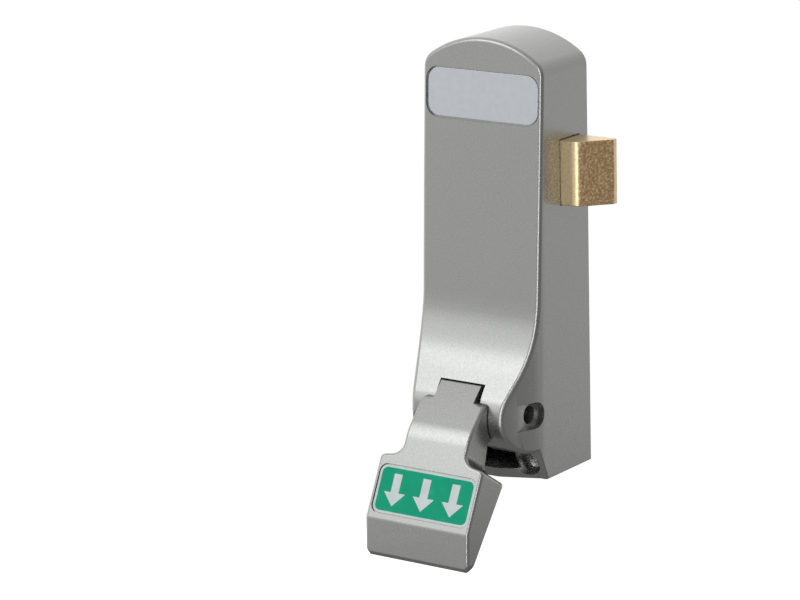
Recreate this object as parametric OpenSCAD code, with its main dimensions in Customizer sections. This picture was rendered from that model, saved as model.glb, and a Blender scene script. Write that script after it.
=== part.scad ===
// Push-pad emergency exit latch: a hinged pad lifts a slide, and the slide draws the latch bolt in.
// X runs along the pad's pivot towards the bolt, Y towards the door, Z up. The door's face is Y = 0.
// Outlines of the side view are [forward, height]: forward is -Y, height is above the case's bottom edge.

/* [Case] */
// Width of the case
case_w = 48; // [46:1:60]
// Height of the case
case_h = 150; // [146:1:185]
// Wall of the case
wall = 2.5; // [2:0.1:3]
// Radius of the arched top
arch_r = 38; // [34:1:60]
// Radius of the two top corners
corner_r = 6; // [3:0.5:8]
// Depth of the case at its lower front, above the curve
case_d = 31.1; // [30:0.1:38]
// Lean of the front face, in degrees
front_lean = 2.92; // [1:0.1:4]
// Depth of the case at its bottom edge
foot_d = 28; // [27:0.5:30]
// Radius of the hollow curve above the knuckle
sweep_r = 48; // [30:1:60]
// Slope of the straight part above the knuckle, in degrees from upright
sweep_a = 36; // [30:1:42]
// Outer radius of the knuckle
knuckle_r = 13.4; // [13.2:0.1:16]
// Depth over which the sides of the case are parallel
side_straight_d = 28; // [24:0.5:30]
// Angle to which the sides then bend in, in degrees
side_bend_a = 17.1; // [5:0.1:18]

/* [Pivot] */
// Distance of the pivot from the door
pivot_d = 33.5; // [33:0.5:36]
// Height of the pivot above the case's bottom edge
pivot_h = 24; // [22:0.5:28]
// Diameter of the pivot pin
pin_d = 6.35; // [5:0.05:7]
// Running clearance on radius
run_gap = 0.05; // [0.02:0.01:0.1]
// Swing of the pad, in degrees
pad_swing = 28; // [20:1:30]

/* [Pad] */
// Width of the pad
pad_w = 42; // [34:1:46]
// Width of the pad's neck
neck_w = 26; // [22:1:30]
// Width of the tongue that enters the case
tongue_w = 16.2; // [15:0.2:18]
// Clearance of the tongue in its slot, on each side
slot_gap = 1; // [0.5:0.1:1.5]
// Wall of the pad
pad_wall = 2.6; // [2:0.1:3.5]
// Width of the label's recess
label_w = 39.4; // [30:0.2:40]
// Length of the label's recess
label_l = 17.2; // [12:0.2:17.4]
// Thickness of the label
label_t = 0.5; // [0.3:0.1:0.8]

/* [Bolt] */
// Height of the latch bolt
bolt_h = 22.2; // [18:0.2:26]
// Thickness of the latch bolt
bolt_t = 11.9; // [10:0.1:13]
// How far the latch bolt stands out of the case
bolt_out = 15; // [12:0.5:18]
// Height of the bolt's middle above the case's bottom edge
bolt_mid_h = 104.7; // [100:0.1:112]
// Travel of the bolt
bolt_travel = 14.5; // [11:0.5:16]

/* [Plate] */
// Thickness of the mounting plate
plate_t = 2.5; // [2:0.1:3]
// Diameter of the door fixing holes
fix_d = 5.2; // [4:0.1:5.6]
// Distance between the fixing holes across the case
fix_w = 30; // [26:1:32]
// Height of the lower fixing holes
fix_low_h = 24.5; // [22:0.5:26]
// Height of the upper fixing holes
fix_high_h = 132.5; // [131:0.5:134]

/* [Linkage] */
// Reach of the crank's finger from the pivot
finger_r = 24; // [20:0.5:25]
// Thickness of the lift slide
slide_t = 2; // [1.5:0.1:2.5]
// Diameter of the drive pin
drive_d = 5; // [4:0.1:5.5]

/* [Hidden] */
$fn = 64;

// Clearance between pieces that pass each other, and the hair between pieces that are pressed together
gap = 0.3;
hair = 0.02;
// Overshoot of cuts
cut = 1;

// The origin is the middle of the door fixing holes, on the door's face
datum_h = (fix_low_h + fix_high_h) / 2;

// Case
half_w = case_w / 2;
pivot = [pivot_d, pivot_h];
// Height at which the front face has its nominal depth
front_ref_h = 64;
knuckle_end_a = -95;
// Radii of the two curves that close in the sides of the knuckle
side_bend_r = 22;
knuckle_side_r = 72;
window_x = half_w - wall;

// Knuckle
boss_r = 7;
boss_in = 16;
pocket_d = 9.2;
pocket_floor = half_w - 3.4;
pin_half = pocket_floor - 2.6;

// Bottom opening and cover screws
opening_half = 13.6;
opening_low = 3.8;
opening_high = 10;
slot_low = opening_high - 4;
screw_x = half_w - 5.6;
screw_h = 5.7;
screw_recess_d = 8.4;
screw_head_d = 6.5;
screw_head_t = 2.2;
screw_d = 4;
screw_seat = 24.3;
post_end = 21.3;
post_r = 3;

// Name plate
plate_mid_h = case_h - 19.55;
name_w = case_w - 2.6;
name_h = 17.7;
name_r = 5;
name_depth = 1;
name_t = 0.7;

// Pad: the corners of its side view
tongue_top = [43.3, 34.6];
slot_top = tongue_top[1] + gap;
neck_top = [48.3, 29.6];
neck_flat_end = [54.4, 23.6];
neck_waist = [59.8, 16.6];
pad_shoulder = [62.2, 11.2];
pad_knee = [71.7, -8.3];
pad_front_low = [72, -20.6];
pad_tip = [70.4, -22.3];
pad_back_low = [68.5, -19.6];
pad_back_top = [50.4, 3.7];
neck_back = [46.9, 16.5];
recess_depth = 0.9;
pad_corner_r = 3;
// Distance of the neck's hollow back from the pivot
neck_clear_r = knuckle_r + 0.5;
barrel_r = 9.4;

// Bushes
bush_r = pin_d / 2 + 1.3;
flange_r = bush_r + 1;
flange_t = 0.8;

// Crank
hub_r = 8.4;
hub_w = 8;
hub_gap_r = hub_r + 0.5;
ear_in = hub_w / 2 + gap;
dowel_d = 2.5;
dowel_r = 6.2;
nose_r = 3;
arm_half = 2;
rest_a = pad_swing / 2;
nose_rest = [pivot_d - finger_r * cos(rest_a), pivot_h - finger_r * sin(rest_a)];
lift = 2 * finger_r * sin(rest_a);

// Clips and return springs
clip_t = 0.8;
clip_x = boss_in - gap - clip_t;
groove_r = pin_d / 2 - 0.6;
clip_r = pin_d / 2 + 1.9;
clip_grip = 0.6;
coil_wire_r = 0.6;
coil_r = 5;
coil_from = tongue_w / 2 + flange_t + gap + coil_wire_r;
coil_to = clip_x - gap - coil_wire_r;

// Slide
slide_back = plate_t + gap;
slide_front = slide_back + slide_t;
slide_half = 9;
slide_low = nose_rest[1] + nose_r + gap;
shelf_reach = nose_rest[0] + 1.6;
shelf_half = 6;
drive_x = 7;
cam_mid_x = drive_x - bolt_travel / 2;
cam_r = drive_d / 2 + gap;
cam_edge = 2.5;
head_half = bolt_travel / 2 + cam_r + cam_edge;
head_low = bolt_mid_h - lift - cam_r - cam_edge;
head_high = bolt_mid_h + cam_r + cam_edge;
stud_d = 5;
stud_slot_r = stud_d / 2 + gap;
stud_low_h = 44;
stud_high_h = 79;
stud_head_r = 4.2;
stud_head_t = 1.4;
spigot_r = 2;
tab_x = -14;
tab_h = 60;
tab_half = 4;
anchor_h = 34;
post_pin_r = 2;
post_reach = 11;
spring_d = 8.9;
spring_wire_r = 0.4;
spring_coil_r = 2.4;
hook_r = post_pin_r + spring_wire_r + gap;

// Bolt case and bolt
bolt_back = slide_front + 0.4;
bolt_front = bolt_back + bolt_t;
bolt_low = bolt_mid_h - bolt_h / 2;
bolt_high = bolt_mid_h + bolt_h / 2;
bolt_axis = [(bolt_back + bolt_front) / 2, bolt_mid_h];
bolt_tip = half_w + bolt_out;
bolt_bevel = 9;
bolt_flat = 2.2;
bolt_nose_r = 2;
box_wall = 2.5;
box_left = -half_w + wall + 2;
box_in = box_left + box_wall;
box_right = window_x - gap;
bolt_rear = box_in + bolt_travel + 0.5;
lug_h = 8;
lug_t = 3;
lug_in = 13.7;
lug_x = (lug_in + box_right) / 2;
case_screw_r = 1.9;
case_head_r = 3.2;
case_head_t = 2.3;
bore_r = 2.8;
bore_rise = 7;
bore_end = 20;
bolt_spring_r = 2.1;
bolt_spring_wire_r = 0.3;
rod_r = 1.4;
drive_depth = 5;

// Stop for the crank and hook for the case
stop_half = 5;
stop_tab_t = 2;
buffer_t = 3;
buffer_low = nose_rest[1] - nose_r - gap - buffer_t;
buffer_r = 3.4;
hook_half = 7;
hook_tab_h = case_h - 8;
hook_t = 2;
hook_lip_d = 10.5;
rib_t = 1.8;

// ---- helpers ----

// Moves heights above the case's bottom edge to the origin
module at_datum() translate([0, 0, -datum_h]) children();

// Extrudes a side view [forward, height] across the case
module across(width) rotate([90, 0, -90]) linear_extrude(width, center = true) children();

// Extrudes a front view [x, height] from one depth to another
module deep(d0, d1) translate([0, -d0, 0]) rotate([90, 0, 0]) linear_extrude(d1 - d0) children();

// A round bar along the door's normal
module deep_bar(x, h, r, d0, d1) translate([x, -d0, h]) rotate([90, 0, 0]) cylinder(r = r, h = d1 - d0);

// A round bar along X through a point of the side view
module cross_bar(p, r, x0, x1) translate([x0, -p[0], p[1]]) rotate([0, 90, 0]) cylinder(r = r, h = x1 - x0);

// A block between two corners [x, depth, height]
module block(a, b) translate([a[0], -b[1], a[2]]) cube([b[0] - a[0], b[1] - a[1], b[2] - a[2]]);

// A rectangle with round corners, about its middle
module round_rect(w, h, r) offset(r) square([w - 2 * r, h - 2 * r], center = true);

// A slot between two points of a 2D view
module slot_2d(a, b, r) {
    along = b - a;
    translate(a) circle(r);
    translate(b) circle(r);
    translate(a) rotate(atan2(along[1], along[0])) translate([0, -r]) square([norm(along), 2 * r]);
}

function dir(a) = [cos(a), sin(a)];
function arc(c, r, a0, a1, n) = [for (i = [0 : n]) c + r * dir(a0 + (a1 - a0) * i / n)];
function unit(v) = v / norm(v);

// A wire of round section along a path, carried without twist
module wire(path, r, sides = 6) {
    last = len(path) - 1;
    tangents = [for (i = [0 : last]) unit(path[min(i + 1, last)] - path[max(i - 1, 0)])];
    first = unit(cross(tangents[0], [0.31, 0.52, 0.79]));
    normals = [
        for (
            i = 0, n = first;
            i <= last;
            i = i + 1, n = i > last ? n : unit(n - tangents[i] * (n * tangents[i]))
        ) n
    ];
    points = [
        for (i = [0 : last]) for (k = [0 : sides - 1]) let(a = 360 * k / sides)
        path[i] + r * (normals[i] * cos(a) + cross(tangents[i], normals[i]) * sin(a))
    ];
    skin = [
        for (i = [0 : last - 1]) for (k = [0 : sides - 1])
        [i * sides + k, (i + 1) * sides + k, (i + 1) * sides + (k + 1) % sides, i * sides + (k + 1) % sides]
    ];
    start = [[for (k = [0 : sides - 1]) k]];
    end = [[for (k = [sides - 1 : -1 : 0]) last * sides + k]];
    polyhedron(points, concat(start, skin, end));
}

// ---- case ----

// Depth of the front face at a height
function front_d(h) = case_d + (front_ref_h - h) * tan(front_lean);

// Side view of the case: foot, knuckle, hollow curve, leaning front, top
function case_side() = let(
    d1 = dir(front_lean) * [front_d(front_ref_h), front_ref_h],
    d2 = dir(sweep_a) * pivot + knuckle_r,
    det = sin(sweep_a - front_lean),
    centre = [
        ((d1 + sweep_r) * sin(sweep_a) - (d2 + sweep_r) * sin(front_lean)) / det,
        ((d2 + sweep_r) * cos(front_lean) - (d1 + sweep_r) * cos(sweep_a)) / det
    ]
) concat(
    [[0, 0], [foot_d, 0]],
    arc(pivot, knuckle_r, knuckle_end_a, sweep_a, 16),
    arc(centre, -sweep_r, sweep_a, front_lean, 10),
    [[front_d(case_h), case_h], [0, case_h]]
);

module case_front() intersection() {
    offset(corner_r) offset(delta = -corner_r) intersection() {
        translate([0, case_h - arch_r]) circle(arch_r, $fn = 96);
        translate([-half_w, case_h - 2 * arch_r]) square([case_w, 2 * arch_r]);
    }
    translate([-half_w, case_h - arch_r]) square([case_w, arch_r]);
}

// Front view of the case, with its straight sides
module case_face() {
    case_front();
    translate([-half_w, 0]) square([case_w, case_h - arch_r + hair]);
}

// Right side of the case's plan, from the end of its straight part: a bend, then the knuckle's curve
function plan_side() = let(
    reach = pivot_d + knuckle_r + cut,
    bend_c = [half_w - side_bend_r, side_straight_d],
    curve_c = bend_c + (side_bend_r - knuckle_side_r) * dir(side_bend_a),
    end_a = asin((reach - curve_c[1]) / knuckle_side_r)
) concat(
    arc(bend_c, side_bend_r, 0, side_bend_a, 4),
    arc(curve_c, knuckle_side_r, side_bend_a, end_a, 6)
);

// Plan of the case: parallel sides that close in round the knuckle
module case_plan() {
    polygon(concat([[0, 0], [half_w, 0]], plan_side(), [[0, pivot_d + knuckle_r + cut]]));
    mirror([1, 0]) polygon(concat([[0, 0], [half_w, 0]], plan_side(), [[0, pivot_d + knuckle_r + cut]]));
}

// The case as a solid, smaller all round by inset and with its back carried on behind the door's face
module case_form(inset = 0) intersection() {
    across(case_w) offset(delta = -inset) union() {
        polygon(case_side());
        translate([-2 * inset, 0]) square([2 * inset + hair, case_h]);
    }
    deep(-inset, pivot_d + knuckle_r + cut) offset(delta = -inset) case_face();
    translate([0, 0, -cut]) linear_extrude(case_h + 2 * cut) mirror([0, 1]) offset(delta = -inset) union() {
        case_plan();
        translate([-half_w, -2 * inset]) square([case_w, 2 * inset + hair]);
    }
}

// Puts a front view on the leaning front face, with Z out of the face
module on_front(h) translate([0, -front_d(h), h]) rotate([90 - front_lean, 0, 0]) children();

module housing() color("silver") at_datum() {
    difference() {
        union() {
            difference() {
                case_form();
                case_form(wall);
            }
            intersection() {
                case_form();
                union() {
                    for (s = [-1, 1]) {
                        cross_bar(pivot, boss_r, s > 0 ? boss_in : -half_w, s > 0 ? half_w : -boss_in);
                        deep_bar(s * screw_x, screw_h, screw_recess_d / 2 + 1, post_end + gap, case_d);
                    }
                    block([-hook_half, hook_lip_d - rib_t - gap, hook_tab_h + hook_t + gap],
                          [hook_half, hook_lip_d - gap, case_h]);
                }
            }
        }
        housing_cuts();
    }
}

module housing_cuts() {
    cross_bar(pivot, pin_d / 2 + run_gap, -half_w - cut, half_w + cut);
    for (s = [-1, 1]) {
        // Pocket at the end of the pivot, which runs out at the front of the knuckle
        x0 = s > 0 ? pocket_floor : -half_w - cut;
        x1 = s > 0 ? half_w + cut : -pocket_floor;
        cross_bar(pivot, pocket_d / 2, x0, x1);
        block([x0, pivot_d, pivot_h - pocket_d / 2], [x1, pivot_d + knuckle_r + cut, pivot_h + pocket_d / 2]);
        deep_bar(s * screw_x, screw_h, screw_recess_d / 2, screw_seat, case_d + cut);
        deep_bar(s * screw_x, screw_h, screw_d / 2 + gap, post_end, screw_seat + cut);
    }
    // Slot for the tongue, from the front of the knuckle to the bottom opening
    slot_half = tongue_w / 2 + slot_gap;
    block([-slot_half, pivot_d - 2, slot_low], [slot_half, pivot_d + 2 * knuckle_r, pivot_h]);
    block([-slot_half, pivot_d, pivot_h - cut], [slot_half, pivot_d + 2 * knuckle_r, slot_top]);
    block([-opening_half, foot_d - 8, opening_low], [opening_half, pivot_d + 2, opening_high]);
    // Window for the bolt
    block([window_x - cut, bolt_back - gap, bolt_low - gap],
          [half_w + cut, bolt_front + gap, bolt_high + gap]);
    on_front(plate_mid_h) translate([0, 0, -name_depth]) linear_extrude(name_depth + cut)
        round_rect(name_w, name_h, name_r);
}

module name_plate() color("gainsboro") at_datum() on_front(plate_mid_h)
    translate([0, 0, -name_depth]) linear_extrude(name_t)
        round_rect(name_w - gap, name_h - gap, name_r - gap / 2);

module cover_screws() color("lightgray") at_datum() for (s = [-1, 1]) difference() {
    union() {
        deep_bar(s * screw_x, screw_h, screw_head_d / 2, screw_seat, screw_seat + screw_head_t);
        deep_bar(s * screw_x, screw_h, screw_d / 2, post_end - 8, screw_seat);
    }
    for (a = [0, 90]) translate([s * screw_x, -screw_seat - screw_head_t, screw_h]) rotate([0, a, 0])
        cube([0.32 * screw_head_d * 2, 2 * 1.3, 0.9], center = true);
}

module cover_posts() color("lightsteelblue") at_datum() for (s = [-1, 1]) difference() {
    union() {
        deep_bar(s * screw_x, screw_h, post_r, plate_t, post_end, $fn = 6);
        deep_bar(s * screw_x, screw_h, spigot_r - hair, gap, plate_t);
    }
    deep_bar(s * screw_x, screw_h, screw_d / 2 + hair, post_end - 9, post_end + cut);
}

// ---- mounting plate ----

module plate_2d() intersection() {
    offset(delta = -wall - gap) case_face();
    translate([-half_w, wall + gap]) square([case_w, case_h]);
}

module mounting_plate() color("lightsteelblue") at_datum() {
    difference() {
        deep(0, plate_t) plate_2d();
        for (s = [-1, 1]) {
            for (h = [fix_low_h, fix_high_h]) deep_bar(s * fix_w / 2, h, fix_d / 2, -cut, plate_t + cut);
            for (h = [bolt_low - box_wall - gap - lug_h / 2, bolt_high + box_wall + gap + lug_h / 2])
                deep_bar(s * lug_x, h, case_screw_r + hair, -cut, plate_t + cut);
            deep_bar(s * screw_x, screw_h, spigot_r, -cut, plate_t + cut);
        }
        for (h = [stud_low_h, stud_high_h]) deep_bar(0, h, spigot_r, -cut, plate_t + cut);
        deep_bar(tab_x, anchor_h, spigot_r, -cut, plate_t + cut);
    }
    block([-stop_half, plate_t, buffer_low - stop_tab_t], [stop_half, nose_rest[0] + buffer_r, buffer_low]);
    block([-hook_half, plate_t, hook_tab_h], [hook_half, hook_lip_d + hook_t, hook_tab_h + hook_t]);
    block([-hook_half, hook_lip_d, hook_tab_h], [hook_half, hook_lip_d + hook_t, hook_tab_h + 2 * hook_t]);
}

module pad_buffer() color("dimgray") at_datum()
    translate([0, -nose_rest[0], buffer_low]) cylinder(r = buffer_r, h = buffer_t);

// ---- pivot ----

module pivot_pin() color("slategray") at_datum() difference() {
    cross_bar(pivot, pin_d / 2, -pin_half, pin_half);
    for (s = [-1, 1]) difference() {
        x0 = s > 0 ? clip_x - hair : -clip_x - clip_t - hair;
        cross_bar(pivot, pin_d, x0, x0 + clip_t + 2 * hair);
        cross_bar(pivot, groove_r, x0 - cut, x0 + clip_t + cut);
    }
}

module pin_clips() color("dimgray") at_datum() for (s = [-1, 1]) difference() {
    x0 = s > 0 ? clip_x : -clip_x - clip_t;
    cross_bar(pivot, clip_r, x0, x0 + clip_t);
    cross_bar(pivot, groove_r + hair, x0 - cut, x0 + clip_t + cut);
    // Open side of the ring
    mouth = groove_r - clip_grip;
    block([x0 - cut, pivot_d - mouth, pivot_h - 2 * clip_r], [x0 + clip_t + cut, pivot_d + mouth, pivot_h]);
}

module pad_bushes() color("peru") at_datum() for (s = [-1, 1]) difference() {
    union() {
        cross_bar(pivot, bush_r, s > 0 ? ear_in : -tongue_w / 2, s > 0 ? tongue_w / 2 : -ear_in);
        cross_bar(pivot, flange_r, s > 0 ? tongue_w / 2 : -tongue_w / 2 - flange_t,
                  s > 0 ? tongue_w / 2 + flange_t : -tongue_w / 2);
    }
    cross_bar(pivot, pin_d / 2 + run_gap, -half_w, half_w);
}

// ---- pad ----

// Side view of the tongue, with the barrel round the pivot
module tongue_side() {
    translate(pivot) circle(barrel_r);
    polygon([
        pivot + barrel_r * dir(105), tongue_top, neck_flat_end - [3, -3],
        [neck_clear_r + pivot_d + 2, pivot_h - 4], neck_back, pivot + barrel_r * dir(-75)
    ]);
}

module neck_side() difference() {
    polygon([
        neck_top, neck_flat_end, neck_waist, pad_shoulder, pad_shoulder + [1, -6],
        pad_back_top, neck_back, pivot
    ]);
    translate(pivot) circle(neck_clear_r);
}

module pad_side() polygon([
    pad_shoulder, pad_knee, pad_front_low, pad_tip, pad_back_low, pad_back_top
]);

// Front view of the pad: round corners at the shoulders and at the bottom
module pad_front() offset(pad_corner_r) offset(delta = -pad_corner_r)
    translate([-pad_w / 2, pad_tip[1]]) square([pad_w, pad_shoulder[1] - pad_tip[1]]);

// Direction, middle and lean of the pad's face
face_v = pad_knee - pad_shoulder;
face_mid = (pad_shoulder + pad_knee) / 2 + 0.3 * unit(face_v);
face_lean = atan2(face_v[0], -face_v[1]);

// Puts a front view on the pad's face, with Z out of the face
module on_pad() translate([0, -face_mid[0], face_mid[1]]) rotate([90 - face_lean, 0, 0]) children();

module push_pad() color("silver") at_datum() difference() {
    union() {
        intersection() {
            across(pad_w) pad_side();
            deep(pad_back_top[0] - cut, pad_front_low[0] + cut) pad_front();
        }
        across(neck_w) neck_side();
        across(tongue_w) tongue_side();
    }
    // Hollow behind the face
    intersection() {
        across(pad_w - 2 * pad_wall) offset(delta = -pad_wall) union() {
            pad_side();
            polygon([pad_back_low, pad_back_top, pad_back_top - [12, 12], pad_back_low - [12, 12]]);
        }
        deep(pad_back_top[0] - 3 * pad_wall, pad_front_low[0]) translate([-pad_w / 2, pad_tip[1]])
            square([pad_w, pad_shoulder[1] - pad_tip[1] - 2 * pad_wall]);
    }
    // Room for the crank between the ears
    cross_bar(pivot, hub_gap_r, -ear_in, ear_in);
    block([-ear_in, pivot_d - 2 * barrel_r, pivot_h - 2 * barrel_r],
          [ear_in, pivot_d, pivot_h + 2 * barrel_r]);
    cross_bar(pivot, bush_r + hair, -half_w, half_w);
    cross_bar(pivot + dowel_r * [0, 1], dowel_d / 2 + hair, -tongue_w, tongue_w);
    on_pad() translate([0, 0, -recess_depth]) linear_extrude(recess_depth + cut)
        round_rect(label_w, label_l, pad_corner_r);
}

module push_label() color("mediumseagreen") at_datum() on_pad() translate([0, 0, -recess_depth])
    linear_extrude(label_t) round_rect(label_w - 4 * gap, label_l - 4 * gap, pad_corner_r - gap);

module lift_crank() color("lightslategray") at_datum() difference() {
    across(hub_w) union() {
        translate(pivot) circle(hub_r);
        translate(pivot) rotate(180 + rest_a) translate([0, -arm_half]) square([finger_r, 2 * arm_half]);
        translate(nose_rest) circle(nose_r);
    }
    cross_bar(pivot, pin_d / 2 + run_gap, -half_w, half_w);
    cross_bar(pivot + dowel_r * [0, 1], dowel_d / 2 + hair, -half_w, half_w);
}

module crank_dowel() color("dimgray") at_datum()
    cross_bar(pivot + dowel_r * [0, 1], dowel_d / 2, -tongue_w / 2 + gap, tongue_w / 2 - gap);

// Torsion spring on the pivot pin: one leg on the case's front wall, one under the pad's ear
module return_springs() color("gray") at_datum() for (s = [-1, 1]) {
    turns = 2;
    steps = 14;
    coil = [
        for (i = [0 : turns * steps])
        [s * (coil_from + (coil_to - coil_from) * i / (turns * steps)),
         -pivot_d - coil_r * cos(360 * i / steps), pivot_h + coil_r * sin(360 * i / steps)]
    ];
    inner_leg = [coil[0] - [0, 0, 5]];
    outer_leg = [coil[len(coil) - 1] + [0, 0, knuckle_r - 4]];
    wire(concat(inner_leg, coil, outer_leg), coil_wire_r);
}

// ---- slide ----

module slide_2d() difference() {
    union() {
        translate([-slide_half, slide_low]) square([2 * slide_half, head_high - slide_low - cut]);
        translate([cam_mid_x - head_half, head_low]) square([2 * head_half, head_high - head_low]);
        translate([tab_x - tab_half, tab_h - tab_half]) square([-tab_x, 2 * tab_half]);
    }
    for (h = [stud_low_h, stud_high_h]) slot_2d([0, h - lift], [0, h], stud_slot_r);
    slot_2d([drive_x - bolt_travel, bolt_mid_h - lift], [drive_x, bolt_mid_h], cam_r);
    translate([tab_x, tab_h]) circle(post_pin_r + hair);
}

module lift_slide() color("lightsteelblue") at_datum() {
    deep(slide_back, slide_front) slide_2d();
    block([-shelf_half, slide_back, slide_low], [shelf_half, shelf_reach, slide_low + slide_t]);
}

module slide_studs() color("slategray") at_datum() for (h = [stud_low_h, stud_high_h]) {
    deep_bar(0, h, spigot_r - hair, gap, plate_t + hair);
    deep_bar(0, h, stud_d / 2, plate_t, slide_front + gap);
    deep_bar(0, h, stud_head_r, slide_front + gap, slide_front + gap + stud_head_t);
}

module slide_post() color("slategray") at_datum() {
    deep_bar(tab_x, tab_h, post_pin_r, slide_back, post_reach);
    deep_bar(tab_x, tab_h, post_pin_r + cut, slide_front, slide_front + cut);
    deep_bar(tab_x, tab_h, post_pin_r + cut, post_reach - cut, post_reach);
}

module anchor_post() color("slategray") at_datum() {
    deep_bar(tab_x, anchor_h, spigot_r - hair, gap, plate_t + hair);
    deep_bar(tab_x, anchor_h, post_pin_r, plate_t, post_reach);
    deep_bar(tab_x, anchor_h, post_pin_r + cut, post_reach - cut, post_reach);
}

// Tension spring with a loop round each post
module slide_spring() color("gray") at_datum() {
    turns = 14;
    steps = 12;
    coil_low = anchor_h + hook_r + 2;
    coil_high = tab_h - hook_r - 2;
    low_loop = [
        for (i = [0 : 14]) let(a = 15 + 330 * i / 14)
        [tab_x - hook_r * sin(a), -spring_d, anchor_h + hook_r * cos(a)]
    ];
    coil = [
        for (i = [0 : turns * steps])
        [tab_x + spring_coil_r * sin(360 * i / steps), -spring_d - spring_coil_r * cos(360 * i / steps),
         coil_low + (coil_high - coil_low) * i / (turns * steps)]
    ];
    high_loop = [
        for (i = [0 : 14]) let(a = 15 + 330 * i / 14)
        [tab_x + hook_r * sin(a), -spring_d, tab_h - hook_r * cos(a)]
    ];
    wire(concat(low_loop, coil, high_loop), spring_wire_r);
}

// ---- bolt ----

module bolt_case() color("lightgray") at_datum() difference() {
    union() {
        block([box_left, plate_t, bolt_low - gap - box_wall],
              [box_right, bolt_front + gap + box_wall, bolt_high + gap + box_wall]);
        for (s = [-1, 1]) {
            low = s > 0 ? lug_in : -box_right;
            high = s > 0 ? box_right : -lug_in;
            block([low, plate_t, bolt_low - gap - box_wall - lug_h], [high, plate_t + lug_t, bolt_low - gap]);
            block([low, plate_t, bolt_high + gap],
                  [high, plate_t + lug_t, bolt_high + gap + box_wall + lug_h]);
        }
    }
    block([box_in, plate_t - cut, bolt_low - gap], [half_w, bolt_front + gap, bolt_high + gap]);
    block([cam_mid_x - head_half - gap, plate_t - cut, bolt_low - 2 * lug_h],
          [cam_mid_x + head_half + gap, slide_front + gap, bolt_high + 2 * lug_h]);
    for (s = [-1, 1]) {
        for (h = [bolt_low - box_wall - gap - lug_h / 2, bolt_high + box_wall + gap + lug_h / 2])
            deep_bar(s * lug_x, h, case_screw_r + gap, plate_t - cut, plate_t + lug_t + cut);
        cross_bar(bolt_axis + s * [0, bore_rise], rod_r + hair, box_left - cut, box_in + cut);
    }
}

module case_screws() color("silver") at_datum() for (s = [-1, 1])
    for (h = [bolt_low - box_wall - gap - lug_h / 2, bolt_high + box_wall + gap + lug_h / 2]) difference() {
        union() {
            deep_bar(s * lug_x, h, case_screw_r, gap, plate_t + lug_t + hair);
            deep_bar(s * lug_x, h, case_head_r, plate_t + lug_t, plate_t + lug_t + case_head_t);
        }
        translate([s * lug_x, -plate_t - lug_t - case_head_t, h])
            cube([4 * case_head_r, 1.6, 1], center = true);
    }

// Plan of the bolt [x, forward]: square at the front, bevelled towards the tip
module bolt_plan() polygon(concat(
    [[bolt_rear, bolt_back], [bolt_tip, bolt_back], [bolt_tip, bolt_back + bolt_flat]],
    arc([bolt_tip - bolt_bevel, bolt_front - bolt_nose_r], bolt_nose_r, 45, 90, 5),
    [[bolt_rear, bolt_front]]
));

module latch_bolt() color("goldenrod") at_datum() difference() {
    translate([0, 0, bolt_low]) mirror([0, 1, 0]) linear_extrude(bolt_h) bolt_plan();
    for (s = [-1, 1])
        cross_bar(bolt_axis + s * [0, bore_rise], bore_r, bolt_rear - cut, bore_end);
    deep_bar(drive_x, bolt_mid_h, drive_d / 2 + hair, bolt_back - cut, bolt_back + drive_depth);
}

module drive_pin() color("dimgray") at_datum()
    deep_bar(drive_x, bolt_mid_h, drive_d / 2, slide_back, bolt_back + drive_depth - hair);

module bolt_springs() color("gray") at_datum() for (s = [-1, 1]) {
    turns = 12;
    steps = 12;
    from = box_in + bolt_spring_wire_r + gap / 2;
    to = bore_end - bolt_spring_wire_r - gap / 2;
    wire([
        for (i = [0 : turns * steps])
        [from + (to - from) * i / (turns * steps),
         -(bolt_back + bolt_front) / 2 - bolt_spring_r * cos(360 * i / steps),
         bolt_mid_h + s * bore_rise + bolt_spring_r * sin(360 * i / steps)]
    ], bolt_spring_wire_r);
}

module spring_rods() color("slategray") at_datum() for (s = [-1, 1])
    cross_bar(bolt_axis + s * [0, bore_rise], rod_r, box_left, bore_end - bolt_travel - 2 * gap);

housing();
mounting_plate();
name_plate();
cover_screws();
cover_posts();
pivot_pin();
pin_clips();
push_pad();
push_label();
pad_bushes();
lift_crank();
crank_dowel();
return_springs();
lift_slide();
slide_studs();
slide_post();
anchor_post();
slide_spring();
bolt_case();
case_screws();
latch_bolt();
drive_pin();
bolt_springs();
spring_rods();
pad_buffer();
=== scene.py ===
"""Looks of a push-pad emergency exit latch: painted case and pad, brass bolt, green label, works inside.

Sizes are millimetres in side views [forward, height] and front views [x, height], as in a workshop drawing:
forward is away from the door, height is above the case's bottom edge. place() turns them into metres.
"""

import math

import bpy
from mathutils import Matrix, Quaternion, Vector


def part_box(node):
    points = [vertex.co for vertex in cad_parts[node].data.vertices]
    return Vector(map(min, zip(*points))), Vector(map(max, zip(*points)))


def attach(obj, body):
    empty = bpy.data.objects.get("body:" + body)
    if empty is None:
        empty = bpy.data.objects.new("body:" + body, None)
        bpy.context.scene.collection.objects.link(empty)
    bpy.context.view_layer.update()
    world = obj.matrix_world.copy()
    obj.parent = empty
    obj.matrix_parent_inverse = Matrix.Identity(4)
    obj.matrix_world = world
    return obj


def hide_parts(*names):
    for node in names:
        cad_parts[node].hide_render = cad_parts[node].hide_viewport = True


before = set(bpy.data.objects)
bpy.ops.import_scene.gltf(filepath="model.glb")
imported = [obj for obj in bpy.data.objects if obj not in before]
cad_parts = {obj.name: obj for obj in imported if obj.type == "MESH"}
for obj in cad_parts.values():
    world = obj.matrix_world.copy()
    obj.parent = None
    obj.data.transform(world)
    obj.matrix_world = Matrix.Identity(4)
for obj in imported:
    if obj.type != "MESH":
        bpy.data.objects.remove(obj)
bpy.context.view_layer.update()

# ---- sizes, in millimetres ----
# R is a radius, A an angle, D a depth from the door, H a height, T a thickness, HALF half a width.

MM = 0.001
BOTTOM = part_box("housing")[0][2]

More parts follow.
